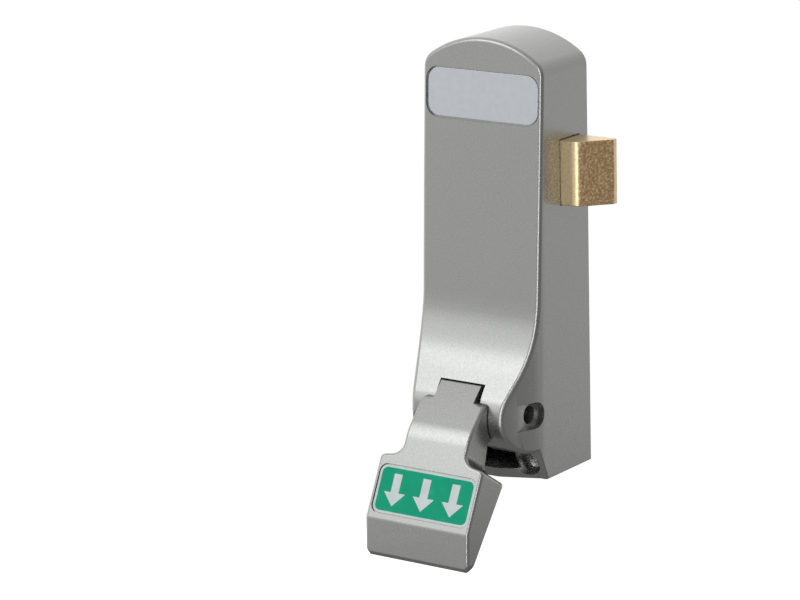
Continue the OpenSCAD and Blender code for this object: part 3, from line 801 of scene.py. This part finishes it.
def softened(node, body, slot, material, width):
    """A copy of a CAD piece with its doubles merged and its edges broken."""
    copy = bpy.data.objects.new(node + "_finished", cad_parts[node].data.copy())
    bpy.context.collection.objects.link(copy)
    pick(copy)
    bpy.ops.object.mode_set(mode="EDIT")
    bpy.ops.mesh.select_mode(type="VERT")
    bpy.ops.mesh.select_all(action="SELECT")
    bpy.ops.mesh.remove_doubles(threshold=2e-6)
    bpy.ops.mesh.dissolve_limited(angle_limit=math.radians(0.6))
    bpy.ops.object.mode_set(mode="OBJECT")
    if width:
        apply_modifier(copy, "BEVEL", width=width * MM, segments=2, limit_method="ANGLE", angle_limit=0.7)
    smooth(copy)
    return finish_piece(copy, body, slot, material, node)


# ---- materials ----


def new_material(name):
    """A new material with its node tree and its shader."""
    material = bpy.data.materials.new(name)
    material.use_nodes = True
    return material, material.node_tree, material.node_tree.nodes["Principled BSDF"]


def noise(tree, scale, detail=2.0, stretch=(1, 1, 1)):
    """Noise in the piece's own coordinates, optionally stretched into a grain."""
    where = tree.nodes.new("ShaderNodeTexCoord")
    turn = tree.nodes.new("ShaderNodeMapping")
    turn.inputs["Scale"].default_value = stretch
    texture = tree.nodes.new("ShaderNodeTexNoise")
    texture.inputs["Scale"].default_value = scale
    texture.inputs["Detail"].default_value = detail
    tree.links.new(where.outputs["Object"], turn.inputs["Vector"])
    tree.links.new(turn.outputs["Vector"], texture.inputs["Vector"])
    return texture.outputs["Fac"]


def ramp(tree, value, stops):
    """A colour ramp from a list of (place, colour)."""
    node = tree.nodes.new("ShaderNodeValToRGB")
    elements = node.color_ramp.elements
    while len(elements) < len(stops):
        elements.new(0.5)
    for element, (spot, colour) in zip(elements, stops):
        element.position = spot
        element.color = (*colour, 1)
    tree.links.new(value, node.inputs["Fac"])
    return node.outputs["Color"]


def spread(tree, value, low, high, start=0.3, end=0.7):
    """Maps a range of a value, such as the middle of a noise, onto a range of numbers."""
    node = tree.nodes.new("ShaderNodeMapRange")
    node.inputs["From Min"].default_value = start
    node.inputs["From Max"].default_value = end
    node.inputs["To Min"].default_value = low
    node.inputs["To Max"].default_value = high
    tree.links.new(value, node.inputs["Value"])
    return node.outputs["Result"]


def add_bump(tree, shader, height, strength, distance):
    """Relief from a value, with its depth in millimetres."""
    node = tree.nodes.new("ShaderNodeBump")
    node.inputs["Strength"].default_value = strength
    node.inputs["Distance"].default_value = distance * MM
    tree.links.new(height, node.inputs["Height"])
    tree.links.new(node.outputs["Normal"], shader.inputs["Normal"])


def shade(colour, factor):
    """A colour made lighter or darker."""
    return tuple(channel * factor for channel in colour)


def silver_paint():
    """Satin silver paint: fine metal flakes under a soft skin."""
    material, tree, shader = new_material("silver_paint")
    grey = (0.365, 0.37, 0.36)
    stops = [(0.3, shade(grey, 0.965)), (0.5, grey), (0.66, shade(grey, 1.02)), (0.75, shade(grey, 1.1))]
    colour = ramp(tree, noise(tree, 2600, 1.0), stops)
    tree.links.new(colour, shader.inputs["Base Color"])
    shader.inputs["Metallic"].default_value = 0.92
    tree.links.new(spread(tree, noise(tree, 900, 3.0), 0.25, 0.3), shader.inputs["Roughness"])
    add_bump(tree, shader, noise(tree, 1500, 3.0), 0.03, 0.02)
    return material


def plain_metal(name, colour, roughness, grain, stretch=(1, 1, 1), depth=0.02, strength=0.15, contrast=0.15):
    """Bare or plated metal with a grain."""
    material, tree, shader = new_material(name)
    pattern = noise(tree, grain, 4.0, stretch)
    stops = [(0.3, shade(colour, 1 - contrast)), (0.5, colour), (0.7, shade(colour, 1 + contrast))]
    tree.links.new(ramp(tree, pattern, stops), shader.inputs["Base Color"])
    shader.inputs["Metallic"].default_value = 1.0
    tree.links.new(spread(tree, noise(tree, grain / 3, 3.0, stretch), *roughness), shader.inputs["Roughness"])
    add_bump(tree, shader, pattern, strength, depth)
    return material


def skin_of_plane(tree, point, normal):
    """1 on a flat face, through a point and square to a normal, and 0 just behind it."""
    where = tree.nodes.new("ShaderNodeTexCoord")
    rise = tree.nodes.new("ShaderNodeVectorMath")
    rise.operation = "DOT_PRODUCT"
    rise.inputs[1].default_value = normal
    tree.links.new(where.outputs["Object"], rise.inputs[0])
    face = point.dot(normal)
    return spread(tree, rise.outputs["Value"], 0, 1, face - 0.3 * MM, face - 0.1 * MM)


def brass_metal(point, normal):
    """Drawn brass with fine specks, browner on the sawn bevel, which is given by a point and a normal; the
    bevel's brightest specks are painted glints.
    """
    material, tree, shader = new_material("drawn_brass")
    specks = noise(tree, 1300, 5.0)
    drawn = (0.88, 0.68, 0.4)
    sawn = (0.78, 0.5, 0.25)
    # Painted highlight: the brightest specks on the sawn bevel are glints painted into the colour.
    painted_glint = (1, 0.8, 0.52)
    drawn_part = ramp(tree, specks, [(0.35, shade(drawn, 0.86)), (0.5, drawn), (0.7, shade(drawn, 1.06))])
    sawn_stops = [(0.3, shade(sawn, 0.6)), (0.46, shade(sawn, 0.85)), (0.54, sawn), (0.64, painted_glint)]
    sawn_part = ramp(tree, specks, sawn_stops)
    mix = tree.nodes.new("ShaderNodeMix")
    mix.data_type = "RGBA"
    tree.links.new(skin_of_plane(tree, point, normal), mix.inputs["Factor"])
    tree.links.new(drawn_part, mix.inputs[6])
    tree.links.new(sawn_part, mix.inputs[7])
    tree.links.new(mix.outputs[2], shader.inputs["Base Color"])
    shader.inputs["Metallic"].default_value = 0.8
    tree.links.new(spread(tree, noise(tree, 700, 4.0), 0.28, 0.38), shader.inputs["Roughness"])
    add_bump(tree, shader, specks, 0.15, 0.03)
    return material


def label_print(name, colour, wear):
    """Printed film with a faint mottle."""
    material, tree, shader = new_material(name)
    mottle = ramp(tree, noise(tree, 260, 4.0), [(0.35, shade(colour, 0.93)), (0.6, colour), (0.75, wear)])
    tree.links.new(mottle, shader.inputs["Base Color"])
    shader.inputs["Specular IOR Level"].default_value = 0.1
    tree.links.new(spread(tree, noise(tree, 700, 2.0), 0.3, 0.42), shader.inputs["Roughness"])
    add_bump(tree, shader, noise(tree, 900, 2.0), 0.08, 0.02)
    return material


def black_rubber():
    """Black rubber with a matt, grainy skin."""
    material, tree, shader = new_material("black_rubber")
    colour = ramp(tree, noise(tree, 1200, 3.0), [(0.3, (0.02, 0.02, 0.02)), (0.7, (0.04, 0.04, 0.04))])
    tree.links.new(colour, shader.inputs["Base Color"])
    shader.inputs["Roughness"].default_value = 0.75
    add_bump(tree, shader, noise(tree, 2000, 3.0), 0.3, 0.03)
    return material


# ---- studio ----

VIEW_AZ = math.radians(35.6146)
VIEW_EL = math.radians(14.2329)
VIEW_ROLL = math.radians(-1.4308)
VIEW_DISTANCE = 1197.8
VIEW_LENS = 158.17
VIEW_AIM = (-26.166, 41.093, 59.65)
LIT_MIDDLE = (0, 35, 70)
LAMP_DISTANCE = 1.5
SOFT_LEVEL = 0.4
ROOM_LEVEL = 0.75
ROOM_SLOPE = (-0.46, 0.24, -0.03)
FLOOR_DROP = 0.35
FLOOR_GREY = (0.4, 0.4, 0.4, 1)


def toward(azimuth, elevation):
    """Unit direction from the object, azimuth from straight in front towards +X, in radians."""
    flat = math.cos(elevation)
    return Vector((math.sin(azimuth) * flat, -math.cos(azimuth) * flat, math.sin(elevation)))


def add_camera():
    """The camera, level but for a slight roll."""
    back = toward(VIEW_AZ, VIEW_EL)
    nothing_selected()
    bpy.ops.object.camera_add(location=place(*VIEW_AIM) + back * VIEW_DISTANCE * MM)
    camera = bpy.context.active_object
    camera.name = "studio_camera"
    camera.rotation_mode = "QUATERNION"
    camera.rotation_quaternion = Quaternion(back, VIEW_ROLL) @ back.to_track_quat("Z", "Y")
    camera.data.lens = VIEW_LENS
    camera.data.clip_start = 0.05
    bpy.context.scene.camera = camera


def softbox(name, azimuth, elevation, width, height, radiance):
    """A rectangular lamp that faces the middle of the object. Angles are degrees, sizes metres."""
    back = toward(math.radians(azimuth), math.radians(elevation))
    nothing_selected()
    bpy.ops.object.light_add(type="AREA", location=place(*LIT_MIDDLE) + back * LAMP_DISTANCE)
    lamp = bpy.context.active_object
    lamp.name = name
    lamp.rotation_mode = "QUATERNION"
    lamp.rotation_quaternion = back.to_track_quat("Z", "Y")
    lamp.data.shape = "RECTANGLE"
    lamp.data.size = width
    lamp.data.size_y = height
    lamp.data.energy = radiance * math.pi * width * height
    lamp.visible_camera = False


def background(tree, strength):
    """An evenly white background node."""
    node = tree.nodes.new("ShaderNodeBackground")
    node.inputs["Color"].default_value = (1, 1, 1, 1)
    node.inputs["Strength"].default_value = strength
    return node


def switch(tree, ray, otherwise, then):
    """One background for a kind of ray and another for all other rays."""
    node = tree.nodes.new("ShaderNodeMixShader")
    tree.links.new(ray, node.inputs["Fac"])
    tree.links.new(otherwise.outputs[0], node.inputs[1])
    tree.links.new(then.outputs[0], node.inputs[2])
    return node


def add_world():
    """White to the camera; even soft light; brighter on the left and behind in reflections."""
    world = bpy.data.worlds.new("studio")
    bpy.context.scene.world = world
    world.use_nodes = True
    tree = world.node_tree
    tree.nodes.clear()
    where = tree.nodes.new("ShaderNodeTexCoord")
    slope = tree.nodes.new("ShaderNodeVectorMath")
    slope.operation = "DOT_PRODUCT"
    slope.inputs[1].default_value = ROOM_SLOPE
    level = tree.nodes.new("ShaderNodeMath")
    level.operation = "ADD"
    level.inputs[1].default_value = ROOM_LEVEL
    tree.links.new(where.outputs["Generated"], slope.inputs[0])
    tree.links.new(slope.outputs["Value"], level.inputs[0])
    soft = background(tree, SOFT_LEVEL)
    room = background(tree, 1)
    tree.links.new(level.outputs["Value"], room.inputs["Strength"])
    seen = background(tree, 1)
    path = tree.nodes.new("ShaderNodeLightPath").outputs
    lit = switch(tree, path["Is Glossy Ray"], soft, room)
    clear = switch(tree, path["Is Transmission Ray"], lit, seen)
    shown = switch(tree, path["Is Camera Ray"], clear, seen)
    out = tree.nodes.new("ShaderNodeOutputWorld")
    tree.links.new(shown.outputs[0], out.inputs["Surface"])


def add_floor():
    """A pale round floor well below the latch, which hangs on a door in use."""
    nothing_selected()
    middle = (0, 0, BOTTOM - FLOOR_DROP)
    bpy.ops.mesh.primitive_circle_add(vertices=64, radius=1.0, fill_type="NGON", location=middle)
    floor = named("studio_floor")
    bpy.ops.object.transform_apply(location=True, rotation=True, scale=True)
    material = bpy.data.materials.new("pale_floor")
    material.use_nodes = True
    tree = material.node_tree
    shader = tree.nodes["Principled BSDF"]
    shader.inputs["Base Color"].default_value = FLOOR_GREY
    shader.inputs["Roughness"].default_value = 0.9
    path = tree.nodes.new("ShaderNodeLightPath")
    shader.inputs["Emission Color"].default_value = (1, 1, 1, 1)
    tree.links.new(path.outputs["Is Camera Ray"], shader.inputs["Emission Strength"])
    floor.data.materials.append(material)


# ---- the latch ----


def dress_works():
    """Finishes for the pieces inside: softened copies, and the CAD pieces where their shape is right."""
    zinc = plain_metal("zinc_steel", (0.5, 0.52, 0.55), (0.28, 0.4), 500)
    bright = plain_metal("bright_steel", (0.62, 0.62, 0.62), (0.18, 0.26), 900, strength=0.04, contrast=0.05)
    ground = plain_metal("ground_steel", (0.42, 0.43, 0.45), (0.2, 0.32), 1400, (0.15, 1, 1))
    black = plain_metal("black_steel", (0.08, 0.08, 0.085), (0.35, 0.5), 900)
    # Near-black steel for the pivot pin: painted shade that stands in for the dark bore round the pin's
    # recessed ends.
    painted_shade_pin = plain_metal("painted_shade_pin_steel", (0.05, 0.05, 0.055), (0.3, 0.42), 1400, (0.15, 1, 1))
    wire = plain_metal("spring_steel", (0.3, 0.3, 0.32), (0.25, 0.35), 1500)
    casting = plain_metal("cast_zinc", (0.4, 0.4, 0.41), (0.4, 0.55), 700, depth=0.05, strength=0.3)
    bronze = plain_metal("sintered_bronze", (0.42, 0.26, 0.13), (0.35, 0.5), 1600, depth=0.03, strength=0.3)
    works = [
        ("mounting_plate", "case", "zinc_steel", zinc, 0.25),
        ("cover_posts", "case", "zinc_steel", zinc, 0.2),
        # The pivot pin takes the near-black painted shade steel.
        ("pivot_pin", "case", "ground_steel", painted_shade_pin, 0.3),
        ("pin_clips", "case", "black_steel", black, 0.1),
        ("return_springs", "case", "spring_steel", wire, 0),
        ("slide_studs", "case", "ground_steel", ground, 0.2),
        ("anchor_post", "case", "ground_steel", ground, 0.2),
        ("slide_spring", "case", "spring_steel", wire, 0),
        ("bolt_case", "case", "cast_zinc", casting, 0.3),
        ("case_screws", "case", "bright_steel", bright, 0.2),
        ("bolt_springs", "case", "spring_steel", wire, 0),
        ("spring_rods", "case", "ground_steel", ground, 0.2),
        ("pad_buffer", "case", "black_rubber", black_rubber(), 0.4),
        ("pad_bushes", "pad", "bronze", bronze, 0.15),
        ("lift_crank", "pad", "zinc_steel", zinc, 0.3),
        ("crank_dowel", "pad", "ground_steel", ground, 0.25),
        ("lift_slide", "slide", "zinc_steel", zinc, 0.2),
        ("slide_post", "slide", "ground_steel", ground, 0.2),
        ("drive_pin", "bolt", "ground_steel", ground, 0.25),
    ]
    for node, body, slot, material, width in works:
        softened(node, body, slot, material, width)
    return bright


def main():
    """Makes the finished pieces, then the studio."""
    bpy.context.scene.view_settings.view_transform = "Standard"
    add_camera()
    paint = silver_paint()
    bright = dress_works()
    make_case(paint)
    satin = plain_metal("satin_plate", (0.56, 0.58, 0.615), (0.3, 0.34), 500, strength=0.03, contrast=0.03)
    make_name_plate(satin)
    make_cover_screws(bright)
    make_pad(paint)
    white = label_print("label_white", (0.72, 0.8, 0.79), (0.76, 0.82, 0.82))
    green = label_print("label_green", (0.006, 0.4, 0.225), (0.03, 0.43, 0.27))
    make_label(white, green)
    make_bolt()
    softbox("key_softbox", azimuth=-34, elevation=40, width=0.8, height=0.7, radiance=2.0)
    softbox("low_softbox", azimuth=-36, elevation=16, width=0.9, height=0.5, radiance=0.7)
    softbox("front_strip", azimuth=18, elevation=5, width=0.4, height=1.9, radiance=3.2)
    add_world()
    add_floor()


main()
